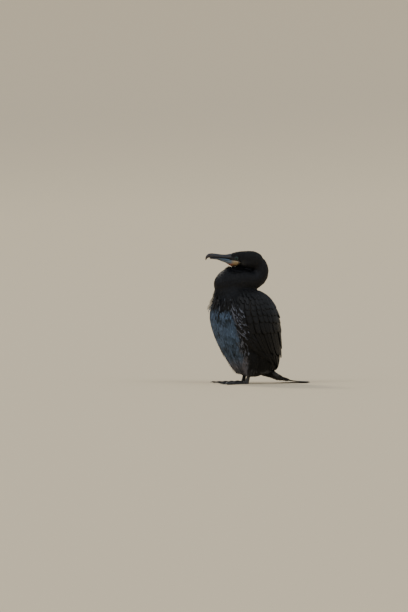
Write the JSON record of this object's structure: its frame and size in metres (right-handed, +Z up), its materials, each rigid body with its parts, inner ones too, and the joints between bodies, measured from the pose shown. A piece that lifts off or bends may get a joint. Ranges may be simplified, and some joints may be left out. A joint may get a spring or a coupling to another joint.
{
  "type": "great cormorant model",
  "caption": "Life-size cormorant standing upright at rest, neck drawn in, hooked bill level, wings folded and tail laid back on the ground.",
  "frame": {"origin": "on the ground under the middle of the bird's whole length, bill to tail", "axes": "+Z up; the bird faces -Y, so its left side is +X"},
  "size_m": [0.1776, 0.3288, 0.3983],
  "materials": {
    "dark_feather": "sleek black feathers",
    "pale_feather": "mottled whitish feathers",
    "wing_feather": "bronze-brown feathers with black edges",
    "horn": "grey horn, paler below",
    "throat_skin": "bare yellowish skin",
    "eye": "wet dark green",
    "leg_skin": "black scaly skin",
    "claw": "dark horn"
  },
  "bodies": {
    "root": {"head": "dark_feather", "neck_upper": "dark_feather", "neck_lower": "dark_feather", "torso": "pale_feather", "wing_left": "wing_feather", "wing_right": "wing_feather", "tail": "dark_feather", "thigh_left": "pale_feather", "thigh_right": "pale_feather", "bill_upper": "horn", "bill_lower": "horn", "throat_pouch": "throat_skin", "eye_left": "eye", "eye_right": "eye", "shank_left": "leg_skin", "shank_right": "leg_skin", "foot_left": "leg_skin", "foot_right": "leg_skin", "claw_left_1": "claw", "claw_left_2": "claw", "claw_left_3": "claw", "claw_left_4": "claw", "claw_right_1": "claw", "claw_right_2": "claw", "claw_right_3": "claw", "claw_right_4": "claw"}
  },
  "joints": []
}
